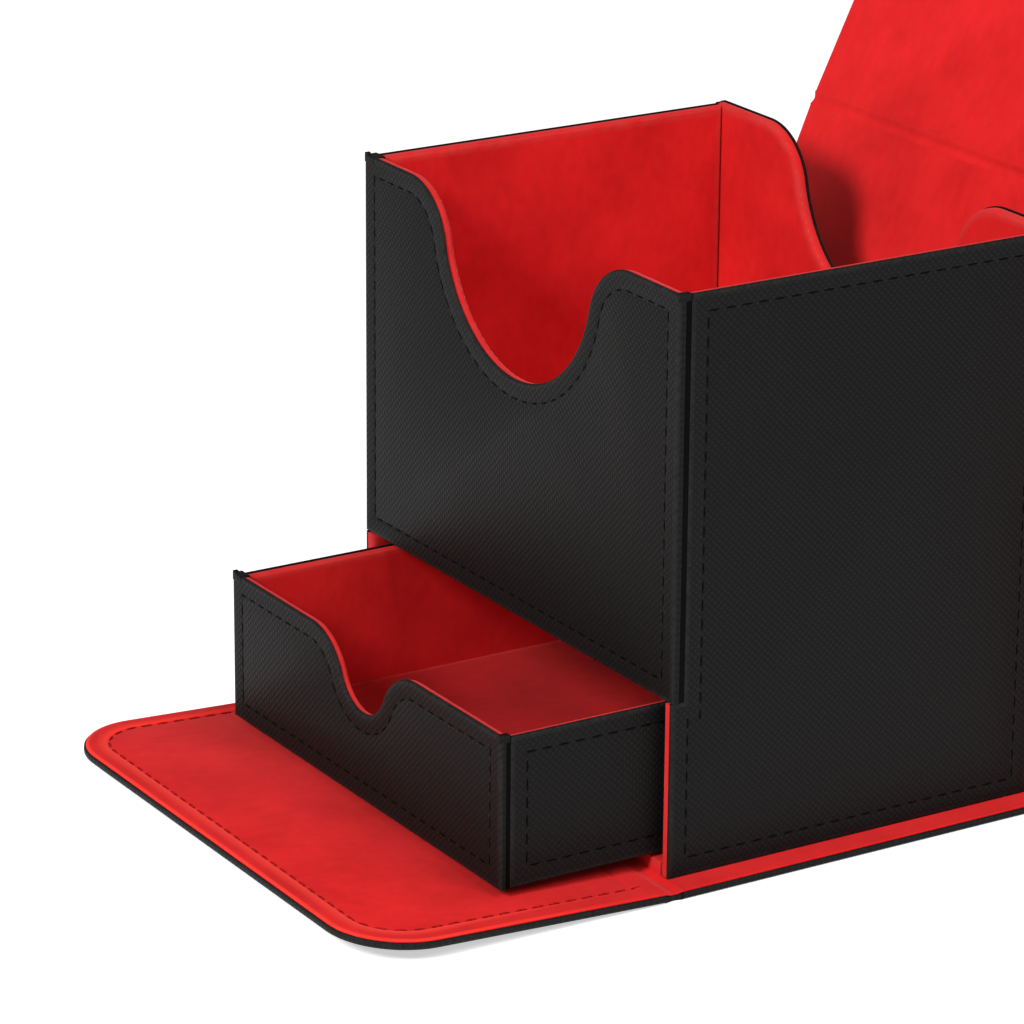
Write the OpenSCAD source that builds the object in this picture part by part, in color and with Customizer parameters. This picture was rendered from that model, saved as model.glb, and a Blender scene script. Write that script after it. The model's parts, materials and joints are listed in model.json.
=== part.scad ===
// Card deck box: a leather-covered case for sleeved trading cards, with a finger scoop at the
// front and back, a pull-out tray drawer below, and a wrap-around cover of hinged panels.
// Millimetres. Origin at the centre of the base panel's underside, +Z up, front towards -Y.

/* [Card compartment] */
// Inside width, along the long side of a sleeved card
inner_w = 98; // [92:1:122]
// Inside depth, along the stack of cards
inner_d = 74; // [60:1:92]
// Inside height above the shelf
inner_h = 69.5; // [56:0.5:86]

/* [Case walls] */
// Leather on the outside of a case wall
leather_t = 0.6; // [0.4:0.1:0.8]
// Grey board core of a case wall
board_t = 1.5; // [1.2:0.1:2]
// Lining cloth, which also wraps the edges of the board
lining_t = 0.4; // [0.3:0.1:0.5]
// Grey board under the bay's floor
bay_board_t = 2; // [1.5:0.1:3]

/* [Finger scoops] */
// Depth of the scoop in the front and rear wall
scoop_depth = 28.6; // [24:0.1:35]
// Radius of the bottom of the scoop
scoop_r = 24.5; // [20:0.5:28]
// Distance from the middle to where the scoop's shoulder starts
scoop_reach = 36; // [33:0.5:40]
// Height of the front and rear wall above the side walls
ear_rise = 0.2; // [0:0.1:1]

/* [Drawer] */
// Clear height of the bay that the drawer slides in
bay_h = 29.7; // [24:0.1:36]
// Gap on each side of the drawer
drawer_side_gap = 2.4; // [0.8:0.1:4]
// Gap under the drawer
drawer_under_gap = 0.6; // [0.4:0.1:1.5]
// Gap between the drawer's front and the bay ceiling
drawer_top_gap = 1.2; // [0.5:0.1:3]
// Step down from the drawer's front to its sides
drawer_front_rise = 0.4; // [0:0.1:2]
// Gap behind the closed drawer
drawer_rear_gap = 1; // [0.5:0.1:4]
// How far the drawer is pulled out at rest
drawer_out = 30.8; // [0:0.1:35]
// Grey board core of a drawer wall
drawer_board_t = 1; // [0.8:0.1:1.5]
// Depth of the finger notch in the drawer's front
notch_depth = 11.6; // [9:0.1:15]
// Radius of the bottom of the notch
notch_r = 8.2; // [7:0.1:9]
// Distance from the middle to where the notch's shoulder starts
notch_reach = 18; // [16:0.5:22]

/* [Cover] */
// How far the cover stands out beyond the case on each side
cover_overhang = 5; // [2:0.5:8]
// Leather on the outside of the cover
cover_leather_t = 0.5; // [0.4:0.1:0.8]
// Stiffener board in a cover panel
cover_board_t = 0.9; // [0.8:0.1:1.4]
// Leather turned over along a panel's edge
hem_w = 1.2; // [0.8:0.1:2]
// Corner radius of the front flap and of the lid's front panel
flap_corner_r = 14; // [6:1:20]
// Width of the fold between the base and the front flap
flap_fold_w = 3.5; // [2.6:0.1:5]
// Length of the front flap from its hinge line
flap_len = 60.4; // [50:0.1:64]
// How far the front flap is lifted off the table at rest, in degrees
flap_lift = 2.8; // [0:0.1:3]
// Width of a fold between two lid panels
lid_fold_w = 2.8; // [2.4:0.1:4]
// Height of the lid's lower hinge line
lid_hinge_z = 49; // [36:0.5:60]
// Room between the closed lid and the case
lid_clearance = 0.5; // [0.3:0.1:1.5]
// How far the lid's back panel leans back at rest, in degrees
lid_back_lean = 23.3; // [0:0.1:60]
// How much further the lid's top panel leans at rest, in degrees
lid_top_bend = 3; // [0:0.5:10]
// How far the lid's front panel bends forward at rest, in degrees
lid_front_bend = 12; // [0:1:40]
// How much narrower a fold is at each end than the panels beside it
fold_inset = 0.8; // [0:0.1:2]
// Gap between a fold and the panel that turns on it
fold_play = 0.5; // [0.3:0.1:1]
// Gap between the rear cover and the lid's lower hinge line
lid_play = 0.3; // [0.2:0.1:0.6]

/* [Magnets] */
// Diameter of a disc magnet
magnet_d = 10; // [8:0.5:12]
// Thickness of a magnet in the front wall
magnet_t = 0.9; // [0.7:0.1:1.2]
// Distance from the middle to each magnet
magnet_x = 28; // [20:1:34]
// Board left between a magnet and the leather turned over a panel's end
magnet_margin = 0.8; // [0.5:0.1:2]

/* [Hidden] */
// How far a cutting shape reaches past what it cuts
past = 1;
$fn = 96;

BLACK = [0.15, 0.145, 0.14];
RED = [0.83, 0.12, 0.13];
GREY = [0.55, 0.54, 0.52];
STEEL = [0.75, 0.76, 0.78];

// Case
wall_t = leather_t + board_t + lining_t;
core_t = lining_t + board_t;
case_w = inner_w + 2 * wall_t;
case_d = inner_d + 2 * wall_t;
cover_t = lining_t + cover_board_t + cover_leather_t;
bay_floor_t = bay_board_t + lining_t;
shelf_t = board_t + 2 * lining_t;
bay_z0 = cover_t + bay_floor_t;
bay_z1 = bay_z0 + bay_h;
shelf_z1 = bay_z1 + shelf_t;
side_top = shelf_z1 + inner_h;
wall_top = side_top + ear_rise;

// Drawer, in the place it has when it is closed
drawer_wall_t = lining_t + drawer_board_t + leather_t;
drawer_core_t = lining_t + drawer_board_t;
drawer_w = inner_w - 2 * drawer_side_gap;
drawer_y0 = -case_d / 2;
drawer_y1 = inner_d / 2 - drawer_rear_gap;
drawer_z0 = bay_z0 + drawer_under_gap;
drawer_front_top = bay_z1 - drawer_top_gap;
drawer_side_top = drawer_front_top - drawer_front_rise;

// Cover
cover_w = case_w + 2 * cover_overhang;
fold_t = lining_t + cover_leather_t;
base_y0 = -case_d / 2;
base_y1 = case_d / 2 + cover_t;
flap_axis_y = base_y0 - flap_fold_w / 2;
lid_axis_y = case_d / 2 + cover_t + lid_play;
lid_back_len = wall_top + lid_clearance - lid_hinge_z;
lid_front_y = flap_axis_y - cover_t - lid_clearance;
lid_top_len = lid_axis_y - cover_t - lid_front_y;
flap_closed_top = cover_t + flap_len;
// The closed lid's front panel and the closed flap overlap where their magnets meet
lid_overlap = magnet_d + 2 * (hem_w + magnet_margin);
magnet_z = flap_closed_top - lid_overlap / 2;
lid_front_len = wall_top + lid_clearance - flap_closed_top + lid_overlap;

// ---- frames: local x across, local y along the panel, local z from lining to leather ----

module standing() { rotate([90, 0, 180]) children(); }

module in_front_wall() { translate([0, -inner_d / 2, 0]) rotate([90, 0, 0]) children(); }

module in_rear_wall() { translate([0, inner_d / 2, 0]) standing() children(); }

module in_right_wall() { translate([inner_w / 2, 0, 0]) rotate([90, 0, 90]) children(); }

module in_left_wall() { mirror([1, 0, 0]) in_right_wall() children(); }

module in_drawer() { translate([0, -drawer_out, 0]) children(); }

module in_drawer_front() {
    in_drawer() translate([0, drawer_y0 + drawer_wall_t, 0]) rotate([90, 0, 0]) children();
}

module in_drawer_back() {
    in_drawer() translate([0, drawer_y1 - drawer_wall_t, 0]) standing() children();
}

module in_drawer_right() {
    in_drawer() translate([drawer_w / 2 - drawer_wall_t, 0, 0]) rotate([90, 0, 90]) children();
}

module in_drawer_left() { mirror([1, 0, 0]) in_drawer_right() children(); }

module in_base() { translate([0, 0, cover_t]) mirror([0, 0, 1]) children(); }

module in_flap() {
    translate([0, flap_axis_y, cover_t]) rotate([180 - flap_lift, 0, 0]) children();
}

module in_rear_cover() { translate([0, case_d / 2, 0]) standing() children(); }

module at_lid_back() {
    translate([0, lid_axis_y, lid_hinge_z]) rotate([-lid_back_lean, 0, 0])
        translate([0, -cover_t, 0]) children();
}

module at_lid_top() {
    at_lid_back() translate([0, 0, lid_back_len]) rotate([-lid_top_bend, 0, 0]) children();
}

module at_lid_front() {
    at_lid_top() translate([0, 0, lid_top_len]) rotate([lid_front_bend, 0, 0]) children();
}

// ---- layers of a panel, each from a flat outline ----

// A plain layer between two depths
module layer(from, to) { translate([0, 0, from]) linear_extrude(to - from) children(); }

// A case wall's lining: it covers the inside and wraps the board's edges (child 0 outline, 1 board)
module wrapped_lining(core) {
    color(RED) difference() {
        layer(0, core) children(0);
        layer(lining_t, core + past) children(1);
    }
}

// A case wall's leather skin
module wall_leather(core) { color(BLACK) layer(core, core + leather_t) children(); }

// A cover panel's leather: the outside and a turned edge around the board
module cover_leather() {
    color(BLACK) difference() {
        layer(lining_t, cover_t) children(0);
        layer(0, lining_t + cover_board_t) children(1);
    }
}

module cover_board() {
    color(GREY) layer(lining_t, lining_t + cover_board_t) children();
}

module cover_lining() { color(RED) layer(0, lining_t) children(); }

// ---- outlines ----

module rect(x0, y0, x1, y1, m = 0) {
    translate([x0 + m, y0 + m]) square([x1 - x0 - 2 * m, y1 - y0 - 2 * m]);
}

// What a scoop takes away below a top edge: a round bottom and a shoulder arc on each side.
// Both are cut along the line between their centres, where they meet. m sets the edge back.
module scoop_cut(top, depth, r, reach, m) {
    arc_sum = (reach * reach + depth * depth) / (2 * depth);
    shoulder_r = arc_sum - r;
    low = top - depth + r;
    shoulder_z = top - shoulder_r;
    above = top + past;
    below = top - depth - r;
    intersection() {
        translate([0, low]) circle(r + m);
        polygon([[0, low], [reach, shoulder_z], [reach, below], [-reach, below], [-reach, shoulder_z]]);
    }
    difference() {
        polygon([[0, low], [reach, shoulder_z], [reach, above], [-reach, above], [-reach, shoulder_z]]);
        for (side = [-1, 1]) translate([side * reach, shoulder_z]) circle(shoulder_r - m);
    }
}

module scooped_outline(z0, m) {
    difference() {
        rect(-case_w / 2, z0, case_w / 2, wall_top, m);
        scoop_cut(wall_top, scoop_depth, scoop_r, scoop_reach, m);
    }
}

module drawer_front_outline(m) {
    difference() {
        rect(-drawer_w / 2, drawer_z0, drawer_w / 2, drawer_front_top, m);
        scoop_cut(drawer_front_top, notch_depth, notch_r, notch_reach, m);
    }
}

// A side wall: full depth beside the bay, set back behind the front wall above it
module side_outline(m) {
    rect(-case_d / 2, cover_t, inner_d / 2, bay_z1, m);
    rect(-inner_d / 2, cover_t, inner_d / 2, side_top, m);
}

module drawer_side_outline(m) {
    rect(drawer_y0 + drawer_wall_t, drawer_z0, drawer_y1 - drawer_wall_t, drawer_side_top, m);
}

module drawer_back_outline(m) {
    rect(-drawer_w / 2, drawer_z0, drawer_w / 2, drawer_side_top, m);
}

// A cover panel with square corners
module panel_outline(y0, y1, m = 0) { rect(-cover_w / 2, y0, cover_w / 2, y1, m); }

// A cover panel whose free end, at y1, has round corners
module free_end_outline(y0, y1, m = 0) {
    half = cover_w / 2;
    corner_x = half - flap_corner_r;
    corner_y = y1 - flap_corner_r;
    translate([-half + m, y0 + m]) square([2 * (half - m), corner_y - y0 - m]);
    translate([-corner_x, y0 + m]) square([2 * corner_x, y1 - y0 - 2 * m]);
    for (side = [-1, 1]) translate([side * corner_x, corner_y]) circle(flap_corner_r - m);
}

module magnet_pair(y) {
    for (side = [-1, 1]) translate([side * magnet_x, y]) circle(d = magnet_d);
}

// ---- cover: base, rear panel, front flap ----

module base_leather() {
    in_base() cover_leather() { panel_outline(base_y0, base_y1); panel_outline(base_y0, base_y1, hem_w); }
}

module base_board() { in_base() cover_board() panel_outline(base_y0, base_y1, hem_w); }

module base_lining() { in_base() cover_lining() panel_outline(base_y0, base_y1); }

rear_cover_z1 = lid_hinge_z - lid_fold_w / 2;

module rear_cover_leather() {
    in_rear_cover() cover_leather() {
        panel_outline(cover_t, rear_cover_z1);
        panel_outline(cover_t, rear_cover_z1, hem_w);
    }
}

module rear_cover_board() { in_rear_cover() cover_board() panel_outline(cover_t, rear_cover_z1, hem_w); }

module rear_cover_lining() { in_rear_cover() cover_lining() panel_outline(cover_t, rear_cover_z1); }

module flap_outline(m = 0) { free_end_outline(flap_fold_w / 2, flap_len, m); }

flap_magnet_s = magnet_z - cover_t;

module flap_leather() { in_flap() cover_leather() { flap_outline(); flap_outline(hem_w); } }

module flap_board() {
    in_flap() cover_board() difference() { flap_outline(hem_w); magnet_pair(flap_magnet_s); }
}

module flap_lining() { in_flap() cover_lining() flap_outline(); }

module flap_magnets() {
    color(STEEL) in_flap() layer(lining_t, lining_t + cover_board_t) magnet_pair(flap_magnet_s);
}

// ---- cover: lid panels ----

module lid_back_outline(m = 0) { panel_outline(lid_fold_w / 2, lid_back_len - lid_fold_w / 2, m); }

module lid_top_outline(m = 0) { panel_outline(lid_fold_w / 2, lid_top_len - lid_fold_w / 2, m); }

module lid_front_outline(m = 0) { free_end_outline(lid_fold_w / 2, lid_front_len, m); }

lid_magnet_s = lid_hinge_z + lid_back_len - magnet_z;

module lid_back_leather() {
    at_lid_back() standing() cover_leather() { lid_back_outline(); lid_back_outline(hem_w); }
}

module lid_back_board() { at_lid_back() standing() cover_board() lid_back_outline(hem_w); }

module lid_back_lining() { at_lid_back() standing() cover_lining() lid_back_outline(); }

module lid_top_leather() {
    at_lid_top() standing() cover_leather() { lid_top_outline(); lid_top_outline(hem_w); }
}

module lid_top_board() { at_lid_top() standing() cover_board() lid_top_outline(hem_w); }

module lid_top_lining() { at_lid_top() standing() cover_lining() lid_top_outline(); }

module lid_front_leather() {
    at_lid_front() standing() cover_leather() { lid_front_outline(); lid_front_outline(hem_w); }
}

module lid_front_board() {
    at_lid_front() standing() cover_board()
        difference() { lid_front_outline(hem_w); magnet_pair(lid_magnet_s); }
}

module lid_front_lining() { at_lid_front() standing() cover_lining() lid_front_outline(); }

module lid_magnets() {
    color(STEEL) at_lid_front() standing()
        layer(lining_t, lining_t + cover_board_t) magnet_pair(lid_magnet_s);
}

// ---- folds: leather and lining without board, at the outer side of the cover ----

module fold_strip(y0, y1) {
    layer(cover_t - fold_t, cover_t)
        rect(-cover_w / 2 + fold_inset, y0, cover_w / 2 - fold_inset, y1);
}

module flap_fold() {
    color(BLACK) in_base() fold_strip(base_y0 - flap_fold_w + fold_play, base_y0);
}

module back_fold() {
    color(BLACK) in_rear_cover() fold_strip(rear_cover_z1, rear_cover_z1 + lid_fold_w - fold_play);
}

module top_fold() {
    color(BLACK) at_lid_back() standing() fold_strip(lid_back_len - lid_fold_w / 2, lid_back_len);
}

module front_fold() {
    color(BLACK) at_lid_top() standing() fold_strip(lid_top_len - lid_fold_w / 2, lid_top_len);
}

// ---- case walls ----

module front_wall_leather() { in_front_wall() wall_leather(core_t) scooped_outline(bay_z1, 0); }

module front_wall_board() {
    color(GREY) in_front_wall() difference() {
        layer(lining_t, core_t) scooped_outline(bay_z1, lining_t);
        layer(core_t - magnet_t, core_t + past) magnet_pair(magnet_z);
    }
}

module front_wall_lining() {
    in_front_wall() wrapped_lining(core_t) { scooped_outline(bay_z1, 0); scooped_outline(bay_z1, lining_t); }
}

module front_wall_magnets() {
    color(STEEL) in_front_wall() layer(core_t - magnet_t, core_t) magnet_pair(magnet_z);
}

module rear_wall_leather() { in_rear_wall() wall_leather(core_t) scooped_outline(cover_t, 0); }

module rear_wall_board() {
    color(GREY) in_rear_wall() layer(lining_t, core_t) scooped_outline(cover_t, lining_t);
}

module rear_wall_lining() {
    in_rear_wall() wrapped_lining(core_t) {
        scooped_outline(cover_t, 0);
        scooped_outline(cover_t, lining_t);
    }
}

module side_leather() { wall_leather(core_t) side_outline(0); }

module side_board() { color(GREY) layer(lining_t, core_t) side_outline(lining_t); }

module side_lining() { wrapped_lining(core_t) { side_outline(0); side_outline(lining_t); } }

module left_wall_leather() { in_left_wall() side_leather(); }

module left_wall_board() { in_left_wall() side_board(); }

module left_wall_lining() { in_left_wall() side_lining(); }

module right_wall_leather() { in_right_wall() side_leather(); }

module right_wall_board() { in_right_wall() side_board(); }

module right_wall_lining() { in_right_wall() side_lining(); }

// ---- shelf and bay ----

module shelf_layer(z0, z1) { layer(z0, z1) rect(-inner_w / 2, -inner_d / 2, inner_w / 2, inner_d / 2); }

module shelf_board() { color(GREY) shelf_layer(bay_z1 + lining_t, shelf_z1 - lining_t); }

module shelf_lining() { color(RED) shelf_layer(shelf_z1 - lining_t, shelf_z1); }

module bay_ceiling_lining() { color(RED) shelf_layer(bay_z1, bay_z1 + lining_t); }

module bay_floor_layer(z0, z1, front, over = 0) {
    half = inner_w / 2 + over;
    layer(z0, z1) rect(-half, -case_d / 2 + front, half, inner_d / 2 + over);
}

module bay_floor_board() { color(GREY) bay_floor_layer(cover_t, bay_z0 - lining_t, lining_t); }

// The bay floor's lining comes down over the front edge of its board
module bay_floor_lining() {
    color(RED) difference() {
        bay_floor_layer(cover_t, bay_z0, 0);
        bay_floor_layer(cover_t - past, bay_z0 - lining_t, lining_t, past);
    }
}

// ---- drawer ----

module drawer_front_leather() {
    in_drawer_front() wall_leather(drawer_core_t) drawer_front_outline(0);
}

module drawer_front_board() {
    color(GREY) in_drawer_front() layer(lining_t, drawer_core_t) drawer_front_outline(lining_t);
}

module drawer_front_lining() {
    in_drawer_front() wrapped_lining(drawer_core_t) {
        drawer_front_outline(0);
        drawer_front_outline(lining_t);
    }
}

module drawer_back_leather() { in_drawer_back() wall_leather(drawer_core_t) drawer_back_outline(0); }

module drawer_back_board() {
    color(GREY) in_drawer_back() layer(lining_t, drawer_core_t) drawer_back_outline(lining_t);
}

module drawer_back_lining() {
    in_drawer_back() wrapped_lining(drawer_core_t) {
        drawer_back_outline(0);
        drawer_back_outline(lining_t);
    }
}

module drawer_side_board() {
    color(GREY) layer(lining_t, drawer_core_t) drawer_side_outline(lining_t);
}

module drawer_side_lining() {
    wrapped_lining(drawer_core_t) { drawer_side_outline(0); drawer_side_outline(lining_t); }
}

module drawer_left_leather() { in_drawer_left() wall_leather(drawer_core_t) drawer_side_outline(0); }

module drawer_left_board() { in_drawer_left() drawer_side_board(); }

module drawer_left_lining() { in_drawer_left() drawer_side_lining(); }

module drawer_right_leather() { in_drawer_right() wall_leather(drawer_core_t) drawer_side_outline(0); }

module drawer_right_board() { in_drawer_right() drawer_side_board(); }

module drawer_right_lining() { in_drawer_right() drawer_side_lining(); }

// A layer of the drawer's floor, measured up from the drawer's underside
module drawer_floor_layer(from, to) {
    half = drawer_w / 2 - drawer_wall_t;
    in_drawer() translate([0, 0, drawer_z0])
        layer(from, to) rect(-half, drawer_y0 + drawer_wall_t, half, drawer_y1 - drawer_wall_t);
}

module drawer_floor_leather() { color(BLACK) drawer_floor_layer(0, leather_t); }

module drawer_floor_board() {
    color(GREY) drawer_floor_layer(leather_t, leather_t + drawer_board_t);
}

module drawer_floor_lining() {
    color(RED) drawer_floor_layer(leather_t + drawer_board_t, drawer_wall_t);
}

base_leather();
base_board();
base_lining();
rear_cover_leather();
rear_cover_board();
rear_cover_lining();
flap_leather();
flap_board();
flap_lining();
flap_magnets();
lid_back_leather();
lid_back_board();
lid_back_lining();
lid_top_leather();
lid_top_board();
lid_top_lining();
lid_front_leather();
lid_front_board();
lid_front_lining();
lid_magnets();
flap_fold();
back_fold();
top_fold();
front_fold();
front_wall_leather();
front_wall_board();
front_wall_lining();
front_wall_magnets();
rear_wall_leather();
rear_wall_board();
rear_wall_lining();
left_wall_leather();
left_wall_board();
left_wall_lining();
right_wall_leather();
right_wall_board();
right_wall_lining();
shelf_board();
shelf_lining();
bay_ceiling_lining();
bay_floor_board();
bay_floor_lining();
drawer_front_leather();
drawer_front_board();
drawer_front_lining();
drawer_back_leather();
drawer_back_board();
drawer_back_lining();
drawer_left_leather();
drawer_left_board();
drawer_left_lining();
drawer_right_leather();
drawer_right_board();
drawer_right_lining();
drawer_floor_leather();
drawer_floor_board();
drawer_floor_lining();
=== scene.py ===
# %% [markdown]
# # A card deck box
# The box keeps a deck of sleeved cards standing on their long side, with a small tray drawer for
# dice below them. It is bookbinder's work: grey board panels, covered with black cross-grained
# leather outside and with red microfibre inside, and sewn along the edges. One long cover, made the
# same way, carries the box and folds round it.
#
# The boards and magnets are right as they come from the design, so they only get a finish. What
# a hand would touch is modelled here: the leather with its turned edges, the cloth that rolls over
# the edges of the boards, the folds and every stitch.

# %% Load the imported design
import json
from math import atan2, copysign, cos, pi, radians, sin
from types import SimpleNamespace

import bmesh
import bpy
from mathutils import Matrix, Vector
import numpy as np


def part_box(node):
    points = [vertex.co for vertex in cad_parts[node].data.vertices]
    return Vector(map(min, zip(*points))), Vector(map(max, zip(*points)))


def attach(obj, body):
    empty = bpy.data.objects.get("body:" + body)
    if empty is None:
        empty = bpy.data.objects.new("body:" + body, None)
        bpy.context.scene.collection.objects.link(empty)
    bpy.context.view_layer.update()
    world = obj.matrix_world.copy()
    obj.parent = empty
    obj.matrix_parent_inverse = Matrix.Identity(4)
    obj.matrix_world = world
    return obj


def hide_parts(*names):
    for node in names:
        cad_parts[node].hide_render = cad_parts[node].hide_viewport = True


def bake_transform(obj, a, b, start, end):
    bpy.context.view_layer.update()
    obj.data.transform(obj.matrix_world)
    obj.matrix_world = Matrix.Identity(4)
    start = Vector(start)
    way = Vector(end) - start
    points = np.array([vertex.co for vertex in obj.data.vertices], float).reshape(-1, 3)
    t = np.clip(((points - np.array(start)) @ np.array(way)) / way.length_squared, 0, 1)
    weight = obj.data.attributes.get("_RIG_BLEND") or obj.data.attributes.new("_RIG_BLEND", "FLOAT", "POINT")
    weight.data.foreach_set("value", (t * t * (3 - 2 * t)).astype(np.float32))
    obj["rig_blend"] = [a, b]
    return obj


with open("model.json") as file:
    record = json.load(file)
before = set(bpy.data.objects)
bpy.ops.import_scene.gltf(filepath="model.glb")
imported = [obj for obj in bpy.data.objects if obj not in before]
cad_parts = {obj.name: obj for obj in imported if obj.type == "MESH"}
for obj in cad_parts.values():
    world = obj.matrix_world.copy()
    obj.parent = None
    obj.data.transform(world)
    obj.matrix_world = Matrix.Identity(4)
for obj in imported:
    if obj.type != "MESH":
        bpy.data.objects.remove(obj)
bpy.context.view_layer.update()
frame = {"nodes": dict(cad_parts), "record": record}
body_of = {node: body for body, group in frame["record"]["behaviour"]["bodies"].items() for node in group}

# %% [markdown]
# ## A frame for each panel
# Every panel of the box is flat, and several lean. It is easier to draw a panel lying flat in its
# own millimetres, u across, v up and w from the cloth to the leather, and to place it when it is
# done. The frame could be copied from the design's angles, but then a change there would be missed.
# Here it is read from the panel's own design node: the faces that look outwards give w.

# %% Measure a panel
MM = 0.001
NEAR = 0.001
FACES_OUT = 0.8


def measure(node, out, up):
    """A flat node's own frame: u across, v up, w along `out`, with its lowest corner's v and w at 0."""
    mesh = frame["nodes"][node].data
    out, up = Vector(out), Vector(up)
    w = Vector()
    for face in mesh.polygons:
        if face.normal.dot(out) > FACES_OUT:
            w += face.normal * face.area
    w.normalize()
    v = (up - w * up.dot(w)).normalized()
    u = v.cross(w)
    reach = [[vert.co.dot(axis) / MM for vert in mesh.vertices] for axis in (u, v, w)]
    low = [min(r) for r in reach]
    high = [max(r) for r in reach]
    origin = (u * (low[0] + high[0]) / 2 + v * low[1] + w * low[2]) * MM
    place = Matrix((u * MM, v * MM, w * MM)).transposed().to_4x4()
    place.translation = origin
    return SimpleNamespace(place=place, half=(high[0] - low[0]) / 2, high=high[1] - low[1],
                           deep=high[2] - low[2], low_w=low[2])


def measure_panel(name, out, up):
    """A panel of cloth, board and leather, in its cloth's frame."""
    cloth, board, skin = (measure(name + layer, out, up) for layer in ("_lining", "_board", "_leather"))
    return SimpleNamespace(name=name, place=cloth.place, half=cloth.half, high=cloth.high,
                           cloth=cloth.deep, skin=skin.low_w - cloth.low_w,
                           top=skin.low_w - cloth.low_w + skin.deep,
                           hem=cloth.half - board.half, board=board.deep, body=body_of[name + "_board"])


UP, BACK, FRONT = (0, 0, 1), (0, 1, 0), (0, -1, 0)
RIGHT, LEFT, DOWN = (1, 0, 0), (-1, 0, 0), (0, 0, -1)
panels = {
    "front_wall": measure_panel("front_wall", FRONT, UP),
    "rear_wall": measure_panel("rear_wall", BACK, UP),
    "right_wall": measure_panel("right_wall", RIGHT, UP),
    "left_wall": measure_panel("left_wall", LEFT, UP),
    "drawer_front": measure_panel("drawer_front", FRONT, UP),
    "drawer_back": measure_panel("drawer_back", BACK, UP),
    "drawer_right": measure_panel("drawer_right", RIGHT, UP),
    "drawer_left": measure_panel("drawer_left", LEFT, UP),
    "base": measure_panel("base", DOWN, FRONT),
    "rear_cover": measure_panel("rear_cover", BACK, UP),
    "flap": measure_panel("flap", DOWN, FRONT),
    "lid_back": measure_panel("lid_back", BACK, UP),
    "lid_top": measure_panel("lid_top", BACK, UP),
    "lid_front": measure_panel("lid_front", BACK, UP),
}
for panel in panels.values():
    print(f"{panel.name}: {2 * panel.half:.1f} x {panel.high:.1f} mm, {panel.top:.2f} thick, on {panel.body}")

# %% [markdown]
# ## Leather
# The outside is black leather with a cross-hatched grain that is pressed in by a plate, so it is
# regular: two sets of fine grooves that cross at right angles, at 45 degrees to the edges. Two wave
# textures, each turned 45 degrees, give that plate, and their smaller value leaves small raised
# diamonds. It could be modelled, but a million diamonds wouldn't show more than the bump does. It is
# drawn in each piece's own panel millimetres, so it runs with the leather and not with the room. One
# mark sits on the points of the rolled edges and paints them a little lighter grey: partly scuffing
# of the finish, partly a painted highlight where the round rim meets the light. Another marks the
# flap's puffed hem, for a painted highlight on its cloth.

# %% Build a material from nodes
PANEL_MAP = "panel"
# Marks rolled rims for a lighter colour: scuffing and a painted highlight.
RIM_RUB_AND_HIGHLIGHT = "rim_rub_and_highlight"
# Marks the flap's puffed hem for a painted highlight.
HEM_HIGHLIGHT = "hem_highlight"


def new_material(name, **sockets):
    """A material whose shader has these constants on its own sockets."""
    material = bpy.data.materials.new(name)
    material.use_nodes = True
    shader = material.node_tree.nodes["Principled BSDF"]
    for socket, value in sockets.items():
        shader.inputs[socket.replace("_", " ")].default_value = value
    return material.node_tree, shader


def node(tree, kind, inputs=(), **settings):
    """One node, with its settings, and its inputs set to a value or linked to another node's output."""
    made = tree.nodes.new(kind)
    for name, value in settings.items():
        setattr(made, name, value)
    for name, value in dict(inputs).items():
        if isinstance(value, bpy.types.NodeSocket):
            tree.links.new(value, made.inputs[name])
        else:
            made.inputs[name].default_value = value
    return made


def arithmetic(tree, operation, first, second):
    """Adds, multiplies or compares two values."""
    return node(tree, "ShaderNodeMath", {0: first, 1: second}, operation=operation).outputs[0]


def mix(tree, share, first, second):
    """Mixes two colours."""
    made = node(tree, "ShaderNodeMix", data_type="RGBA")
    for index, value in ((0, share), (6, first), (7, second)):
        if isinstance(value, bpy.types.NodeSocket):
            tree.links.new(value, made.inputs[index])
        else:
            made.inputs[index].default_value = value
    return made.outputs[2]


def span(tree, value, low, high, to_low, to_high):
    """Carries a value from one range to another."""
    inputs = {"Value": value, "From Min": low, "From Max": high, "To Min": to_low, "To Max": to_high}
    return node(tree, "ShaderNodeMapRange", inputs).outputs[0]


print("the map is called", PANEL_MAP, "and the marks on points", RIM_RUB_AND_HIGHLIGHT, "and", HEM_HIGHLIGHT)

# %% The leather's finish
GRAIN_PITCH = 0.92
WAVE_PERIOD = pi / 10


def grain(tree, turn):
    """One set of grooves across the panel, turned by an angle."""
    flat = node(tree, "ShaderNodeUVMap", uv_map=PANEL_MAP).outputs[0]
    turned = node(tree, "ShaderNodeMapping", {"Vector": flat, "Rotation": (0, 0, turn)}).outputs[0]
    wave = {"Vector": turned, "Scale": WAVE_PERIOD / GRAIN_PITCH, "Distortion": 0.5, "Detail": 1.0,
            "Detail Scale": 1.6}
    return node(tree, "ShaderNodeTexWave", wave, bands_direction="X").outputs["Fac"]


def cloud(tree, scale, detail=2.0, stretch=(1, 1, 1)):
    """A noise in panel millimetres."""
    flat = node(tree, "ShaderNodeUVMap", uv_map=PANEL_MAP).outputs[0]
    stretched = node(tree, "ShaderNodeMapping", {"Vector": flat, "Scale": stretch}).outputs[0]
    noise = {"Vector": stretched, "Scale": scale, "Detail": detail}
    return node(tree, "ShaderNodeTexNoise", noise).outputs[0]


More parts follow.
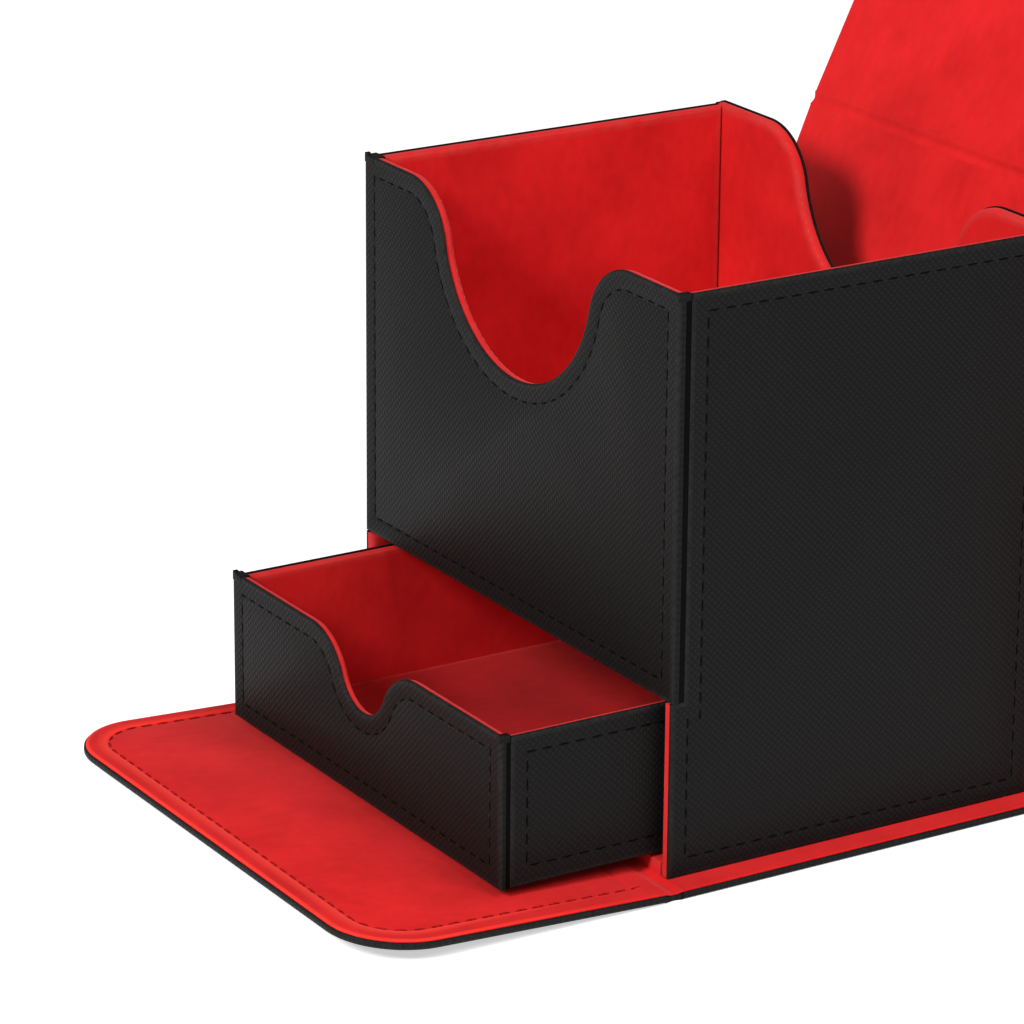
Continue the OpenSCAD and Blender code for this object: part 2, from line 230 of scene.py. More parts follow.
def make_leather(name, dark, light, rub_and_highlight, grain_depth, crease=0.0):
    tree, shader = new_material(name, Specular_IOR_Level=0.062)
    hatch = arithmetic(tree, "MINIMUM", grain(tree, pi / 4), grain(tree, -pi / 4))
    patch = cloud(tree, 0.035)
    colour = mix(tree, hatch, dark, light)
    colour = mix(tree, span(tree, patch, 0.3, 0.7, 0.0, 0.35), colour, dark)
    # Marked rims go a lighter grey: scuffing and a painted highlight.
    rim_rub_and_highlight = node(tree, "ShaderNodeAttribute", attribute_name=RIM_RUB_AND_HIGHLIGHT).outputs["Fac"]
    rub_and_highlight_share = arithmetic(tree, "MULTIPLY", rim_rub_and_highlight, span(tree, cloud(tree, 0.8, 4.0), 0.3, 0.75, 0.15, 0.8))
    tree.links.new(mix(tree, rub_and_highlight_share, colour, rub_and_highlight), shader.inputs["Base Color"])
    gloss = span(tree, arithmetic(tree, "ADD", hatch, patch), 0.2, 1.4, 0.62, 0.46)
    tree.links.new(gloss, shader.inputs["Roughness"])
    height = arithmetic(tree, "ADD", hatch, arithmetic(tree, "MULTIPLY", cloud(tree, 2.2, 3.0), 0.35))
    if crease:
        lines = cloud(tree, 0.9, 5.0, stretch=(0.12, 2.2, 1))
        height = arithmetic(tree, "ADD", height, arithmetic(tree, "MULTIPLY", lines, crease))
    bump = {"Height": height, "Distance": grain_depth * MM, "Strength": 1.0}
    tree.links.new(node(tree, "ShaderNodeBump", bump).outputs[0], shader.inputs["Normal"])


LEATHER_DARK = (0.0062, 0.0059, 0.0058, 1)
LEATHER_LIGHT = (0.0125, 0.012, 0.0118, 1)
# Rim colour: scuffed finish and a painted highlight.
LEATHER_RUB_AND_HIGHLIGHT = (0.02, 0.0195, 0.019, 1)
make_leather("cross_grained_leather", LEATHER_DARK, LEATHER_LIGHT, LEATHER_RUB_AND_HIGHLIGHT, grain_depth=0.055)
make_leather("creased_leather", LEATHER_DARK, LEATHER_LIGHT, LEATHER_RUB_AND_HIGHLIGHT, grain_depth=0.05, crease=2.5)
leather, fold_leather = (bpy.data.materials[name] for name in ("cross_grained_leather", "creased_leather"))
print("leathers", leather.name, fold_leather.name)

# %% [markdown]
# ## Microfibre
# The lining is a brushed red microfibre. Its nap lies in slightly different directions, so it shows
# soft darker and lighter clouds, and the finest fibres give it a dull, even surface that brightens
# when it is seen along the cloth. The colour could come from a scan of cloth, but clouds at three
# sizes say the same: hand-sized ones for how it was stroked, small ones for the nap, and a fine
# one for the fibres, which is also the bump. Where the cloth rolls over a board's edge the rim mark
# paints it paler: partly fibres scuffed flat, partly a painted highlight on the round rim. On the
# flap's hem, outside its stitches, the hem mark paints a brighter colour: a painted highlight where
# the puffed hem faces the light. The drawer's floor has the same cloth in a darker colour, which
# paints the shade that falls under the case.

# %% The microfibre's finish
def make_microfibre(name, deep, bright, rub_and_highlight, hem_highlight_colour):
    tree, shader = new_material(name, Roughness=0.85, Specular_IOR_Level=0.12, Sheen_Weight=0.22,
                                Sheen_Roughness=0.45, Sheen_Tint=(1.0, 0.32, 0.3, 1))
    stroked = span(tree, cloud(tree, 0.055, 3.0), 0.35, 0.65, 0.0, 0.7)
    nap = span(tree, cloud(tree, 0.5, 3.0, stretch=(1, 0.6, 1)), 0.3, 0.7, 0.0, 0.3)
    fibre = cloud(tree, 5.5, 2.0, stretch=(1, 0.45, 1))
    colour = mix(tree, arithmetic(tree, "ADD", stroked, nap), bright, deep)
    colour = mix(tree, span(tree, fibre, 0.3, 0.75, 0.0, 0.25), colour, deep)
    # Marked rims go paler: scuffed fibres and a painted highlight.
    rim_rub_and_highlight = node(tree, "ShaderNodeAttribute", attribute_name=RIM_RUB_AND_HIGHLIGHT).outputs["Fac"]
    rub_and_highlight_share = arithmetic(tree, "MULTIPLY", rim_rub_and_highlight, span(tree, cloud(tree, 0.35, 4.0), 0.3, 0.7, 0.2, 0.9))
    # The marked hem goes brighter: a painted highlight.
    hem_highlight = node(tree, "ShaderNodeAttribute", attribute_name=HEM_HIGHLIGHT).outputs["Fac"]
    colour = mix(tree, hem_highlight, colour, hem_highlight_colour)
    tree.links.new(mix(tree, rub_and_highlight_share, colour, rub_and_highlight), shader.inputs["Base Color"])
    height = arithmetic(tree, "ADD", fibre, arithmetic(tree, "MULTIPLY", nap, 1.2))
    bump = {"Height": height, "Distance": 0.05 * MM, "Strength": 1.0}
    tree.links.new(node(tree, "ShaderNodeBump", bump).outputs[0], shader.inputs["Normal"])


# A painted highlight colour for the flap's hem.
CLOTH_HEM_HIGHLIGHT = (1.0, 0.034, 0.02, 1)
# Rim colour for the cloth: scuffed fibres and a painted highlight.
CLOTH_RUB_AND_HIGHLIGHT = (0.56, 0.034, 0.032, 1)
# The second cloth is darker, to paint the shade on the drawer's floor.
for name, deep, bright in (("red_microfibre", (0.53, 0.006, 0.0075, 1), (0.74, 0.0135, 0.0150, 1)),
                           ("brushed_back_microfibre", (0.33, 0.003, 0.004, 1), (0.5, 0.007, 0.0085, 1))):
    make_microfibre(name, deep, bright, CLOTH_RUB_AND_HIGHLIGHT, CLOTH_HEM_HIGHLIGHT)
microfibre = bpy.data.materials["red_microfibre"]
floor_shade_microfibre = bpy.data.materials["brushed_back_microfibre"]
print("cloths", microfibre.name, floor_shade_microfibre.name)

# %% [markdown]
# ## Board, steel and thread
# The boards and magnets stay as they are in the design. Grey board is pulped paper, so it gets
# flecks and a soft grain, and the magnets are nickel plated, with fine marks from tumbling. Both
# finishes are in the object's own space, because design nodes have no map of their own. The thread is
# waxed and twisted: black on the leather, and a red darker than the cloth on the lining. The twist is
# a wave across each stitch.

# %% Board, steel and thread finishes
TWIST_PITCH = 0.7


def make_solid(name, first, second, scale, **sockets):
    """A material with a noise in the object's own space, between two colours and as a slight bump."""
    tree, shader = new_material(name, **sockets)
    place = node(tree, "ShaderNodeTexCoord").outputs["Object"]
    fleck = node(tree, "ShaderNodeTexNoise", {"Vector": place, "Scale": scale, "Detail": 6.0}).outputs[0]
    colour = mix(tree, span(tree, fleck, 0.35, 0.65, 0.0, 1.0), first, second)
    tree.links.new(colour, shader.inputs["Base Color"])
    bump = node(tree, "ShaderNodeBump", {"Height": fleck, "Distance": 0.02 * MM})
    tree.links.new(bump.outputs[0], shader.inputs["Normal"])
    return bpy.data.materials[name]


def make_thread(name, deep, bright):
    """Waxed thread: fine bands across each stitch, from the twist of its strands."""
    tree, shader = new_material(name, Roughness=0.7, Specular_IOR_Level=0.05)
    flat = node(tree, "ShaderNodeUVMap", uv_map=PANEL_MAP).outputs[0]
    twist = {"Vector": flat, "Scale": WAVE_PERIOD / TWIST_PITCH, "Distortion": 1.0}
    band = node(tree, "ShaderNodeTexWave", twist, bands_direction="DIAGONAL").outputs["Fac"]
    tree.links.new(mix(tree, band, deep, bright), shader.inputs["Base Color"])
    bump = node(tree, "ShaderNodeBump", {"Height": band, "Distance": 0.05 * MM})
    tree.links.new(bump.outputs[0], shader.inputs["Normal"])
    return bpy.data.materials[name]


board = make_solid("pulp_board", (0.21, 0.2, 0.18, 1), (0.33, 0.32, 0.29, 1), 700, Roughness=0.95)
steel = make_solid("nickel_plate", (0.55, 0.54, 0.52, 1), (0.68, 0.67, 0.65, 1), 900,
                   Metallic=1.0, Roughness=0.28)
black_thread = make_thread("black_thread", (0.0003, 0.0003, 0.0003, 1), (0.0012, 0.0012, 0.0012, 1))
red_thread = make_thread("red_thread", (0.25, 0.004, 0.005, 1), (0.42, 0.009, 0.01, 1))

for name, cad in frame["nodes"].items():
    if name.endswith("_board") or name.endswith("_magnets"):
        cad.data.materials.clear()
        cad.data.materials.append(board if name.endswith("_board") else steel)
print("boards and magnets have a finish")

# %% [markdown]
# ## Outlines
# Leather, cloth and board of one panel share an outline, and so does the row of stitches a few
# millimetres in from it. So each outline is a function of how far in from the panel's edge it runs. It
# is drawn as a hand would draw it with a rule and compasses, by straight and round stretches.

# %% Draw an outline
SCOOP = SimpleNamespace(depth=28.6, radius=24.5, reach=36.0)
NOTCH = SimpleNamespace(depth=11.6, radius=8.2, reach=18.0)
CORNER_RADIUS = 14.0
TURN = 90


def rectangle(panel, m):
    half, high = panel.half - m, panel.high - m
    return (-half, m), [(half, m), (half, high), (-half, high)]


def scooped(panel, m, cut):
    """A rectangle with a round scoop in its top edge, that runs out into the edge in two round shoulders."""
    half, high = panel.half - m, panel.high
    shoulder = (cut.reach ** 2 + cut.depth ** 2) / (2 * cut.depth) - cut.radius
    tilt = atan2(shoulder + cut.radius - cut.depth, cut.reach) * 180 / pi
    side_centre, low_centre = high - shoulder, high - cut.depth + cut.radius
    return (-half, m), [
        (half, m),
        (half, high - m),
        (cut.reach, high - m),
        (cut.reach, side_centre, TURN - tilt),
        (0, low_centre, -2 * (TURN - tilt)),
        (-cut.reach, side_centre, TURN - tilt),
        (-half, high - m),
    ]


def stepped(panel, m, step, bay):
    """A side wall: below the drawer bay's top it reaches one wall thickness further forward."""
    half, high = panel.half - m, panel.high - m
    return (-half, m), [
        (half, m),
        (half, high),
        (-half + step, high),
        (-half + step, bay - m),
        (-half, bay - m),
    ]


def round_ended(panel, m):
    """A cover panel's free end, with two round corners at the top."""
    half, high, radius = panel.half - m, panel.high - m, CORNER_RADIUS
    turn_u, turn_v = panel.half - radius, panel.high - radius
    return (-half, m), [
        (half, m),
        (half, turn_v),
        (turn_u, turn_v, TURN),
        (-turn_u, high),
        (-turn_u, turn_v, TURN),
    ]


def trace(bm, shape, hand=1):
    """Draws a shape's outline, with arcs in short steps. Three numbers are an arc's centre and its turn."""
    start, moves = shape
    vert = bm.verts.new((start[0] * hand, start[1], 0))
    for move in moves:
        if len(move) == 2:
            vert = bmesh.ops.extrude_vert_indiv(bm, verts=[vert])["verts"][0]
            vert.co = (move[0] * hand, move[1], 0)
        else:
            u, v, turn = move
            vert = bmesh.ops.spin(bm, geom=[vert], cent=(u * hand, v, 0), axis=(0, 0, 1), dvec=(0, 0, 0),
                                  angle=radians(turn) * hand, steps=max(8, int(abs(turn) / 4)),
                                  use_merge=False, use_duplicate=False)["geom_last"][0]
    bmesh.ops.remove_doubles(bm, verts=bm.verts[:], dist=NEAR)
    return [vert.co.copy() for vert in bm.verts]


def outline_points(shape, hand=1):
    bm = bmesh.new()
    points = trace(bm, shape, hand)
    bm.free()
    return points


print("scoop outline", len(outline_points(scooped(panels["front_wall"], 0, SCOOP))), "points")

# %% [markdown]
# ## Plates with soft rims
# Each layer is a plate as thick as its cloth or leather, cut to the outline. Its rims are rounded,
# because cloth and leather that are turned over a board's edge never have a sharp corner. A ring of
# edges just inside the rim keeps the wide face flat, so the rounding stays at the rim. A tray
# is the same plate with a pocket pressed into one face, where the board lies.

# %% Build a plate
FACES_IN = -0.9
THIN_RING = 0.02
TURNED_ROUND = 0.8


def plate(shape, low, high, hand=1):
    """A closed plate between two heights."""
    bm = bmesh.new()
    bm.verts.layers.float.new(RIM_RUB_AND_HIGHLIGHT)
    bm.verts.layers.float.new(HEM_HIGHLIGHT)
    trace(bm, shape, hand)
    ends = [vert for vert in bm.verts if len(vert.link_edges) == 1]
    bm.edges.new(ends)
    bmesh.ops.contextual_create(bm, geom=bm.edges[:])
    bmesh.ops.translate(bm, verts=bm.verts[:], vec=(0, 0, low))
    made = bmesh.ops.extrude_face_region(bm, geom=bm.faces[:])["geom"]
    top = [item for item in made if isinstance(item, bmesh.types.BMVert)]
    bmesh.ops.translate(bm, verts=top, vec=(0, 0, high - low))
    bmesh.ops.recalc_face_normals(bm, faces=bm.faces[:])
    return bm


def flat_face(bm, side):
    """The widest face that looks along w, side 1, or against it, side -1."""
    bm.normal_update()
    return max(bm.faces, key=lambda face: face.normal.z * side * face.calc_area())


def soften(bm, edges, radius, segments):
    """Rounds edges, and gives the points that it made."""
    made = bmesh.ops.bevel(bm, geom=edges, offset=radius, offset_type="OFFSET", segments=segments,
                           profile=0.5, affect="EDGES", material=-1, clamp_overlap=True)
    return made["verts"]


def inset_flat(bm, side, thickness, depth=0):
    """Draws a smaller outline inside one wide face, raised by a depth."""
    bmesh.ops.inset_region(bm, faces=[flat_face(bm, side)], thickness=thickness, depth=depth,
                           use_boundary=True, use_even_offset=True)


def on_fold(vert, folds):
    return any(abs(vert.co.y - v) < NEAR for v in folds)


def round_rim(bm, side, radius, ring, segments=4, rub_and_highlight=1.0, folds=()):
    """Rounds the rim of one wide face but for its fold lines, and keeps the face flat inside a ring."""
    rim = [edge for edge in flat_face(bm, side).edges
           if not any(all(on_fold(vert, (v,)) for vert in edge.verts) for v in folds)]
    # The rounded rim is marked for a lighter colour: scuffing and a painted highlight.
    layer = bm.verts.layers.float[RIM_RUB_AND_HIGHLIGHT]
    for vert in soften(bm, rim, radius, segments):
        vert[layer] = 0.0 if on_fold(vert, folds) else rub_and_highlight
    inset_flat(bm, side, ring)
    for vert in flat_face(bm, side).verts:
        vert[layer] = 0.0


def press_pocket(bm, side, margin, depth):
    """Presses a pocket with upright walls into one wide face."""
    inset_flat(bm, side, margin)
    inner = bmesh.ops.extrude_discrete_faces(bm, faces=[flat_face(bm, side)])["faces"][0]
    bmesh.ops.translate(bm, verts=inner.verts[:], vec=(0, 0, -side * depth))


def turn_in(bm, edges, thickness, depth):
    """Turns leather round upright edges. Each edge is its u, the side it faces and the v where it starts."""
    for u, side, low in edges:
        line = u - side * thickness
        for co, no in (((line, 0, 0), (1, 0, 0)), ((0, low, 0), (0, 1, 0))):
            inner = [face for face in bm.faces if face.normal.z < FACES_IN]
            parts = set(inner) | {edge for face in inner for edge in face.edges}
            parts |= {vert for face in inner for vert in face.verts}
            bmesh.ops.bisect_plane(bm, geom=list(parts), plane_co=co, plane_no=no)
        strips = [face for face in bm.faces if face.normal.z < FACES_IN
                  and side * (face.calc_center_median().x - line) > 0 and face.calc_center_median().y > low]
        made = bmesh.ops.extrude_discrete_faces(bm, faces=strips)["faces"]
        for vert in {vert for face in made for vert in face.verts}:
            vert.co.z -= depth
        rims = [edge for face in made for edge in face.edges
                if all(abs(vert.co.x - u) < NEAR for vert in edge.verts)]
        soften(bm, rims, thickness * TURNED_ROUND, 3)


def press_groove(bm, side, margin, width, depth):
    """Presses a shallow groove all round one wide face, where the stitches pull the leather in."""
    for thickness, rise in ((margin, 0), (width / 2, -depth), (width / 2, depth)):
        inset_flat(bm, side, thickness, rise)


SMOOTH_BELOW = radians(40)


def make_object(bm, name, material):
    """An object that is shaded smooth but for its sharp edges."""
    mesh = bpy.data.meshes.new(name)
    bm.to_mesh(mesh)
    bm.free()
    mesh.shade_smooth()
    mesh.set_sharp_from_angle(angle=SMOOTH_BELOW)
    mesh.materials.append(material)
    piece = bpy.data.objects.new(name, mesh)
    bpy.context.scene.collection.objects.link(piece)
    return piece


def finish_piece(bm, name, panel, material, nodes=()):
    """Places a piece on its panel, maps it in panel millimetres and lets it ride on the panel's body."""
    flat = bm.loops.layers.uv.new(PANEL_MAP)
    for face in bm.faces:
        for loop in face.loops:
            u, v, w = loop.vert.co
            loop[flat].uv = (u + w, v + w)
    bm.transform(panel.place)
    bmesh.ops.recalc_face_normals(bm, faces=bm.faces[:])
    piece = make_object(bm, name, material)
    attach(piece, panel.body)
    if nodes:
        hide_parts(*nodes)
    return piece


print("edges under", round(SMOOTH_BELOW * 180 / pi), "degrees are shaded smooth")

# %% [markdown]
# ## Stitches
# A waxed thread, sewn through leather and board by hand or machine, shows as short bars in a row,
# a few millimetres in from the edge. They could be drawn in the leather's finish, but then they
# would have no thickness on the edge of a panel. Each one is a slim capsule that is half sunk in the
# leather, and a row follows the outline at its own margin.

# %% Sew a row of stitches
STITCH = SimpleNamespace(pitch=3.3, length=2.5, width=0.46, rise=0.34)


def spaced(points, closed, pitch):
    """Places along a line of points, evenly spaced, with the line's direction at each."""
    ring = points + points[:1] if closed else points
    steps = [(b - a).length for a, b in zip(ring, ring[1:])]
    count = max(1, round(sum(steps) / pitch))
    gap = sum(steps) / count
    wanted, passed, places = gap / 2, 0.0, []
    for a, b, step in zip(ring, ring[1:], steps):
        while step and wanted <= passed + step and len(places) < count:
            places.append((a.lerp(b, (wanted - passed) / step), (b - a).normalized()))
            wanted += gap
        passed += step
    return places


def sew(name, panel, points, w, closed, thread):
    """A row of stitches along points, on the face at height w."""
    bm = bmesh.new()
    for place, along in spaced(points, closed, STITCH.pitch):
        across = Vector((-along.y, along.x, 0))
        upward = Vector((0, 0, STITCH.rise / 2))
        turned = Matrix((along * STITCH.length / 2, across * STITCH.width / 2, upward))
        lie = turned.transposed().to_4x4()
        lie.translation = (place.x, place.y, w)
        bmesh.ops.create_uvsphere(bm, u_segments=6, v_segments=4, radius=1.0, matrix=lie)
    return finish_piece(bm, name, panel, thread)


print("stitches", STITCH)

# %% [markdown]
# ## Walls of the case
# A wall is a board with red cloth on the room side. The cloth rolls over the board's edge, so the
# edge is red and round, and it ends a little below the leather outside, with a thin dark seam between
# them. At a wall's upright ends the leather turns round the edge instead. The stitches run round the
# whole panel, and pull the leather into a shallow groove.

# %% The four walls
CLOTH_ROUND, CLOTH_RING = 0.95, 0.9
# The second number marks the cloth's rim by the leather lighter: scuffing and a painted highlight.
CLOTH_SEAM, SEAM_RUB_AND_HIGHLIGHT = 0.3, 0.6
LEATHER_ROUND, LEATHER_RING = 0.42, 0.7
STITCH_INSET, GROOVE_WIDTH, GROOVE_DEPTH = 3.4, 1.1, 0.16
POCKET_PLAY = 0.02
TURNED, SEAM_SHARE, SEAM_SINK, SEAM_ROUND = 0.3, 0.5, 0.12, 0.6
SET_BACK = 0.22
WHOLE = -1.0


def make_crevice_shade(name, side):
    """A near-black strip in the corner, between the turned leather and the next wall: painted shade for the
    dark crevice.
    """
    panel = panels[name]
    u = side * (panel.half - (TURNED + SEAM_SINK) / 2)
    wide = (TURNED - SEAM_SINK) / 2
    low, high = SEAM_SINK / 2, panel.high - SEAM_SINK / 2
    shape = (u - wide, low), [(u + wide, low), (u + wide, high), (u - wide, high)]
    seam = plate(shape, -SEAM_SINK, panel.skin * SEAM_SHARE + SEAM_SINK / 2)
    soften(seam, seam.edges[:], wide * SEAM_ROUND, 2)
    word = "right" if side > 0 else "left"
    finish_piece(seam, f"{name}_crevice_shade_{word}", panel, black_thread)


def make_wall(name, shape, hand=1, turned=()):
    """A wall's cloth and leather. Turned lists the upright edges that the leather covers."""
    panel = panels[name]
    core = panel.skin
    cloth = plate(shape(SET_BACK), 0, core, hand)
    for vert in cloth.verts:
        if abs(vert.co.x) > panel.half - SET_BACK - NEAR:
            vert.co.x = copysign(panel.half, vert.co.x)
    round_rim(cloth, -1, min(CLOTH_ROUND, core / 2), CLOTH_RING)
    # That rim is marked lighter too: scuffing and a painted highlight.
    round_rim(cloth, 1, CLOTH_SEAM, THIN_RING, segments=2, rub_and_highlight=SEAM_RUB_AND_HIGHLIGHT)
    press_pocket(cloth, 1, panel.hem - SET_BACK - CLOTH_SEAM - POCKET_PLAY, panel.board)
    for u, side, low in turned:
        for vert in cloth.verts:
            if vert.co.y > low and side * (vert.co.x - u) > -TURNED:
                vert.co.x = u - side * TURNED
    finish_piece(cloth, name + "_cloth", panel, microfibre, [name + "_lining"])
    skin = plate(shape(0.0), core, panel.top, hand)
    turn_in(skin, turned, TURNED, core * (1 - SEAM_SHARE))
    round_rim(skin, 1, LEATHER_ROUND, LEATHER_RING)
    margin = STITCH_INSET - LEATHER_ROUND - LEATHER_RING - GROOVE_WIDTH / 2
    press_groove(skin, 1, margin, GROOVE_WIDTH, GROOVE_DEPTH)
    row = outline_points(shape(STITCH_INSET), hand)
    sew(name + "_stitches", panel, row, panel.top - GROOVE_DEPTH, True, black_thread)
    finish_piece(skin, name + "_skin", panel, leather, [name + "_leather"])


wall_t = panels["front_wall"].top
bay_in_wall = (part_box("bay_ceiling_lining")[0].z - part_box("right_wall_lining")[0].z) / MM
for name in ("front_wall", "rear_wall"):
    both_ends = [(side * panels[name].half, side, WHOLE) for side in (-1, 1)]
    make_wall(name, lambda m, panel=panels[name]: scooped(panel, m, SCOOP), turned=both_ends)
for name, hand in (("right_wall", 1), ("left_wall", -1)):
    upper_front = [(hand * (wall_t - panels[name].half), -hand, bay_in_wall)]
    make_wall(name, lambda m, panel=panels[name]: stepped(panel, m, wall_t, bay_in_wall), hand, upper_front)
# Near-black strips in the case's corners paint the shade in the crevices there.
for side in (-1, 1):
    make_crevice_shade("front_wall", side)
    make_crevice_shade("rear_wall", side)
print("case walls made", wall_t, bay_in_wall)

# %% [markdown]
# ## Drawer walls
# The drawer is a tray that is made like the case, of thinner board. Only its front has the finger
# notch.

# %% The drawer's four walls
drawer_ends = [(side * panels["drawer_front"].half, side, WHOLE) for side in (-1, 1)]
make_wall("drawer_front", lambda m: scooped(panels["drawer_front"], m, NOTCH), turned=drawer_ends)
make_wall("drawer_back", lambda m: rectangle(panels["drawer_back"], m), turned=drawer_ends)
for name, hand in (("drawer_left", -1), ("drawer_right", 1)):
    front = [(-hand * panels[name].half, -hand, WHOLE)]
    make_wall(name, lambda m, panel=panels[name]: rectangle(panel, m), hand, front)
# The same near-black strips paint the shade in the drawer's corners.
for side in (-1, 1):
    make_crevice_shade("drawer_front", side)
    make_crevice_shade("drawer_back", side)
print("drawer walls made")

# %% [markdown]
# ## Leather corners
# At a front wall's two top corners the leather is folded over the cloth like the corner of a parcel.
# It covers the edge for a few millimetres and stands up in a small peak at the very corner, higher on
# the left, and still low enough for the shut lid to clear it. A cap makes the fold and a sliver the
# peak, set in a little so that no two faces share a place.

# %% Corner caps on the two front walls
CAP = SimpleNamespace(width={-1: 3.3, 1: 1.3}, below=1.4, proud=0.04, round=0.18)
PEAK = SimpleNamespace(rise={-1: 0.38, 1: 0.1}, tip=0.4, foot=1.3, thick=0.95, set_in=0.03)


def make_corner(name, hand):
    panel = panels[name]
    word = "right" if hand > 0 else "left"
    half, high = panel.half + CAP.proud / 2, panel.high + CAP.proud
    low, inner = high - CAP.below, half - CAP.width[hand]
    cap = (inner, low), [(half, low), (half, high), (inner, high)]
    tip, end, foot = high + PEAK.rise[hand], half - PEAK.set_in, half - PEAK.foot
    root = high - CAP.round
    peak = (foot, root), [(end, root), (end, tip), (end - PEAK.tip, tip), (foot, high)]
    outside = panel.top + CAP.proud
    for part, shape, depth, top in (("corner", cap, CAP.proud, outside),
                                    ("peak", peak, panel.top - PEAK.thick, outside - PEAK.set_in)):
        fold = plate(shape, depth, top, hand)
        soften(fold, fold.edges[:], CAP.round, 3)
        finish_piece(fold, f"{name}_{part}_{word}", panel, leather)


for name in ("front_wall", "drawer_front"):
    for hand in (-1, 1):
        make_corner(name, hand)
print("corners made")

# %% [markdown]
# ## Floors
# The compartment's floor, the bay's ceiling and floor, and the drawer's floor are cut cloth, glued
# flat, with hardly any rim. Each is a plate of its design node's own size.

# %% Cloth on the floors
FLOOR_RING, CUT_CLOTH, CUT_LEATHER = 1.0, 0.12, 0.15


def make_floor(name, out, up, material, rim):
    """A flat sheet of cloth or leather, as its design node is, with a soft rim."""
    panel = measure(name, out, up)
    panel.body = body_of[name]
    sheet = plate(rectangle(panel, 0.0), 0, panel.deep)
    round_rim(sheet, 1, rim, FLOOR_RING, segments=3)
    finish_piece(sheet, name + "_sheet", panel, material, [name])


make_floor("shelf_lining", UP, BACK, microfibre, CUT_CLOTH)
make_floor("bay_ceiling_lining", DOWN, BACK, microfibre, CUT_CLOTH)
make_floor("bay_floor_lining", UP, BACK, microfibre, CUT_CLOTH)
# The drawer's floor cloth is darker: painted shade under the case.
make_floor("drawer_floor_lining", UP, BACK, floor_shade_microfibre, CUT_CLOTH)
make_floor("drawer_floor_leather", DOWN, BACK, leather, CUT_LEATHER)
print("floors made")

# %% [markdown]
# ## Cover panels
# The cover is one strip of leather with a board in each panel. The leather turns over the boards'
# edges, which makes a round black rim, and the lining is glued over the turned edges and rolled
# under, so it ends in its own soft rim. The stitches are black outside. Inside they show only on the
# flap, in dark red, where they pull the cloth into a groove and leave its hem standing up, with a
# painted highlight that makes the hem brighter. None are made on the lid's lining.

# %% The six cover panels
COVER_ROUND, HEM_ROUND, LINING_ROUND, LINING_INSET = 0.6, 0.25, 0.3, 0.35
# The last number marks the leather's inner rim lighter: scuffing and a painted highlight.
COVER_RING, LINING_RING, HEM_RUB_AND_HIGHLIGHT = 0.8, 0.5, 0.7
COVER_STITCH_INSET = 4.6
HEM = SimpleNamespace(width=2.9, slope=0.9, rise=0.1, fade=1.0)
PULL = SimpleNamespace(slope=0.5, depth=0.28, back=0.6, rise=0.18)

FOLD_LINES = {
    "base": lambda panel: (0.0, panel.high),
    "rear_cover": lambda panel: (0.0, panel.high),
    "flap": lambda panel: (0.0,),
    "lid_back": lambda panel: (0.0, panel.high),
    "lid_top": lambda panel: (0.0, panel.high),
    "lid_front": lambda panel: (0.0,),
}


def puff_hem_with_highlight(bm):
    """Puffs up the flap's hem outside its stitches, and presses a groove where they pull the cloth in."""
    # The hem outside the stitches is marked for a painted highlight, where the puffed hem faces the light.
    layer = bm.verts.layers.float[HEM_HIGHLIGHT]
    hem = {vert for vert in bm.verts if vert.co.z < LINING_ROUND}
    for thickness, rise in ((HEM.slope, HEM.rise), (HEM.width - HEM.slope, 0.0)):
        inset_flat(bm, -1, thickness, rise)
        hem |= set(flat_face(bm, -1).verts)
    for vert in hem:
        vert[layer] = 0.0 if vert.co.y < HEM.width + HEM.fade else 1.0
    for thickness, rise in ((PULL.slope, -PULL.depth), (PULL.back, PULL.rise)):
        inset_flat(bm, -1, thickness, rise)
        for vert in flat_face(bm, -1).verts:
            vert[layer] = 0.0


def make_cover(name, shape):
    """A cover panel: a leather tray that holds its board, and the lining on top."""
    panel = panels[name]
    tray = plate(shape(panel, 0.0), panel.cloth, panel.top)
    folds = FOLD_LINES[name](panel)
    round_rim(tray, 1, COVER_ROUND, COVER_RING, folds=folds)
    # The inner rim is marked lighter: scuffing and a painted highlight.
    round_rim(tray, -1, HEM_ROUND, THIN_RING, segments=3, rub_and_highlight=HEM_RUB_AND_HIGHLIGHT)
    press_pocket(tray, -1, panel.hem - HEM_ROUND - 2 * POCKET_PLAY, panel.board)
    if name == "rear_cover":
        for vert in tray.verts:
            vert.co.y -= panel.cloth if vert.co.y < NEAR else 0
    finish_piece(tray, name + "_skin", panel, leather, [name + "_leather"])
    cloth = plate(shape(panel, LINING_INSET), 0, panel.cloth)
    for v in folds:
        for vert in cloth.verts:
            if abs(vert.co.y - v) < LINING_INSET + NEAR:
                vert.co.y = v
            if name == "base" and v == 0.0 and vert.co.y == v:
                vert.co.y = panel.top
    round_rim(cloth, -1, LINING_ROUND, LINING_RING, rub_and_highlight=0.0, folds=folds)
    if name == "flap":
        puff_hem_with_highlight(cloth)
    finish_piece(cloth, name + "_cloth", panel, microfibre, [name + "_lining"])


def free_sides(panel, shape):
    """The lines that a panel's stitches follow: all but the sides that meet a fold."""
    points = outline_points(shape(panel, COVER_STITCH_INSET))
    low, high = STITCH.pitch / 2, panel.high - STITCH.pitch / 2
    inset = panel.half - COVER_STITCH_INSET
    if shape is round_ended:
        return [[Vector((inset, low, 0))] + points[2:] + [Vector((-inset, low, 0))]]
    return [[Vector((side, low, 0)), Vector((side, high, 0))] for side in (-inset, inset)]


